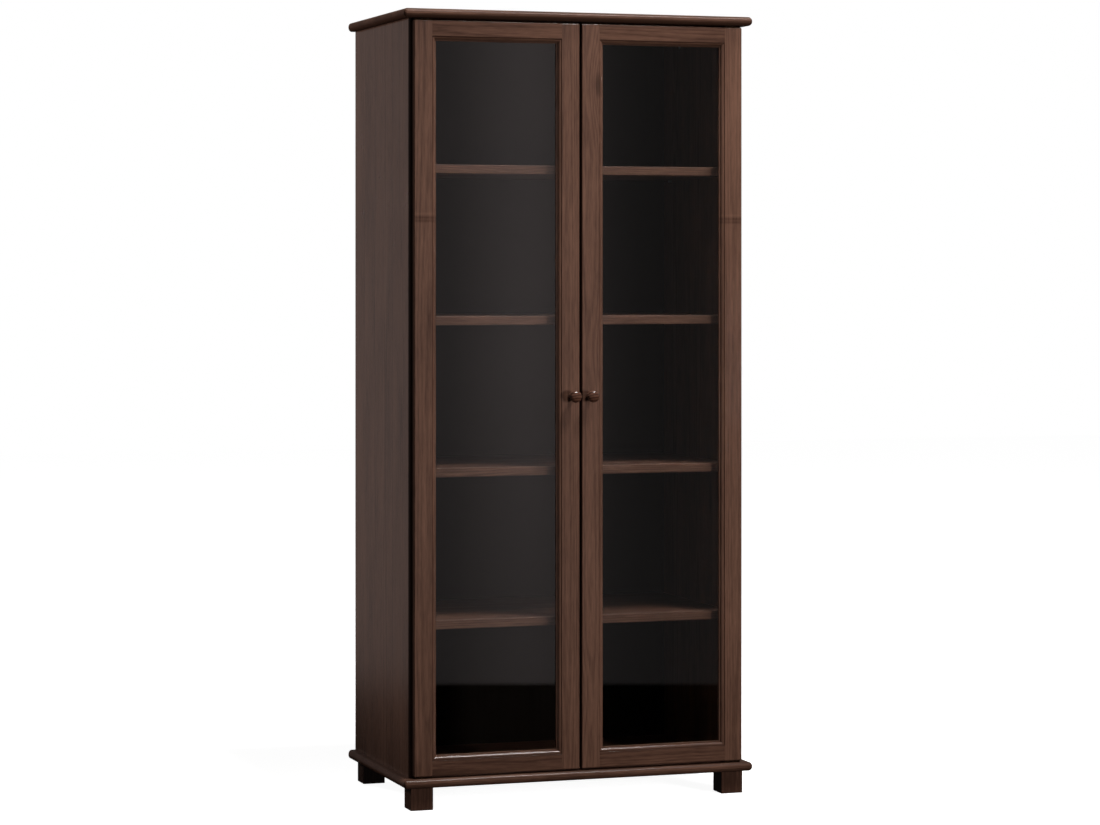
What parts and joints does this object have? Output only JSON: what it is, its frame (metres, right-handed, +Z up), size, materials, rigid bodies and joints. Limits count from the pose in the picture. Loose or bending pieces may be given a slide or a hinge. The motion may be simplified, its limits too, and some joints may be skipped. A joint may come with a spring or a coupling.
{
  "type": "bookcase",
  "caption": "Tall walnut-stained pine bookcase on square feet, with two glazed frame doors, turned knobs and fixed-pitch shelves.",
  "frame": {"origin": "on the floor under the middle of the whole, knobs included", "axes": "+Z up, +X to the right as seen from the front, the doors face -Y"},
  "size_m": [0.85, 0.518, 1.82],
  "materials": {
    "stained_pine": "solid pine in walnut stain under satin lacquer",
    "lacquered_pine": "turned pine, walnut stain, gloss lacquer",
    "stained_back_board": "thin board, dark walnut stain",
    "plain_beech": "bare",
    "clear_glass": "clear float glass",
    "zinc_plated_steel": "bright zinc plated",
    "browned_brass": "chemically browned, satin",
    "magnet_steel": "nickel plated",
    "brown_plastic": "moulded"
  },
  "bodies": {
    "cabinet": {"top_panel": "stained_pine", "bottom_panel": "stained_pine", "left_side_panel": "stained_pine", "right_side_panel": "stained_pine", "back_panel": "stained_back_board", "shelf_1": "stained_pine", "shelf_2": "stained_pine", "shelf_3": "stained_pine", "shelf_4": "stained_pine", "front_left_foot": "stained_pine", "front_right_foot": "stained_pine", "back_left_foot": "stained_pine", "back_right_foot": "stained_pine", "left_hinge_plates": "browned_brass", "right_hinge_plates": "browned_brass", "hinge_pins": "zinc_plated_steel", "hinge_washers": "browned_brass", "hinge_plate_screws": "zinc_plated_steel", "shelf_pins": "zinc_plated_steel", "carcass_dowels": "plain_beech", "carcass_screws": "zinc_plated_steel", "cam_locks": "zinc_plated_steel", "cam_bolts": "zinc_plated_steel", "foot_bolts": "zinc_plated_steel", "back_screws": "zinc_plated_steel", "catch_housings": "brown_plastic", "catch_magnets": "magnet_steel", "catch_screws": "zinc_plated_steel"},
    "left_door": {"left_door_hinge_stile": "stained_pine", "left_door_lock_stile": "stained_pine", "left_door_top_rail": "stained_pine", "left_door_bottom_rail": "stained_pine", "left_door_glass": "clear_glass", "left_door_top_bead": "stained_pine", "left_door_bottom_bead": "stained_pine", "left_door_left_bead": "stained_pine", "left_door_right_bead": "stained_pine", "left_door_frame_dowels": "plain_beech", "left_door_knob": "lacquered_pine", "left_door_knob_screw": "zinc_plated_steel", "left_door_strike_plate": "zinc_plated_steel", "left_door_hinge_leaves": "browned_brass", "left_door_screws": "zinc_plated_steel"},
    "right_door": {"right_door_hinge_stile": "stained_pine", "right_door_lock_stile": "stained_pine", "right_door_top_rail": "stained_pine", "right_door_bottom_rail": "stained_pine", "right_door_glass": "clear_glass", "right_door_top_bead": "stained_pine", "right_door_bottom_bead": "stained_pine", "right_door_left_bead": "stained_pine", "right_door_right_bead": "stained_pine", "right_door_frame_dowels": "plain_beech", "right_door_knob": "lacquered_pine", "right_door_knob_screw": "zinc_plated_steel", "right_door_strike_plate": "zinc_plated_steel", "right_door_hinge_leaves": "browned_brass", "right_door_screws": "zinc_plated_steel"}
  },
  "joints": [
    {"name": "left_door_hinge", "type": "hinge", "parent": "cabinet", "child": "left_door", "pos_m": [-0.393, -0.214, 0.936], "axis": [0, 0, -1], "range_deg": [0, 180]},
    {"name": "right_door_hinge", "type": "hinge", "parent": "cabinet", "child": "right_door", "pos_m": [0.393, -0.214, 0.936], "axis": [0, 0, 1], "range_deg": [0, 180]}
  ]
}
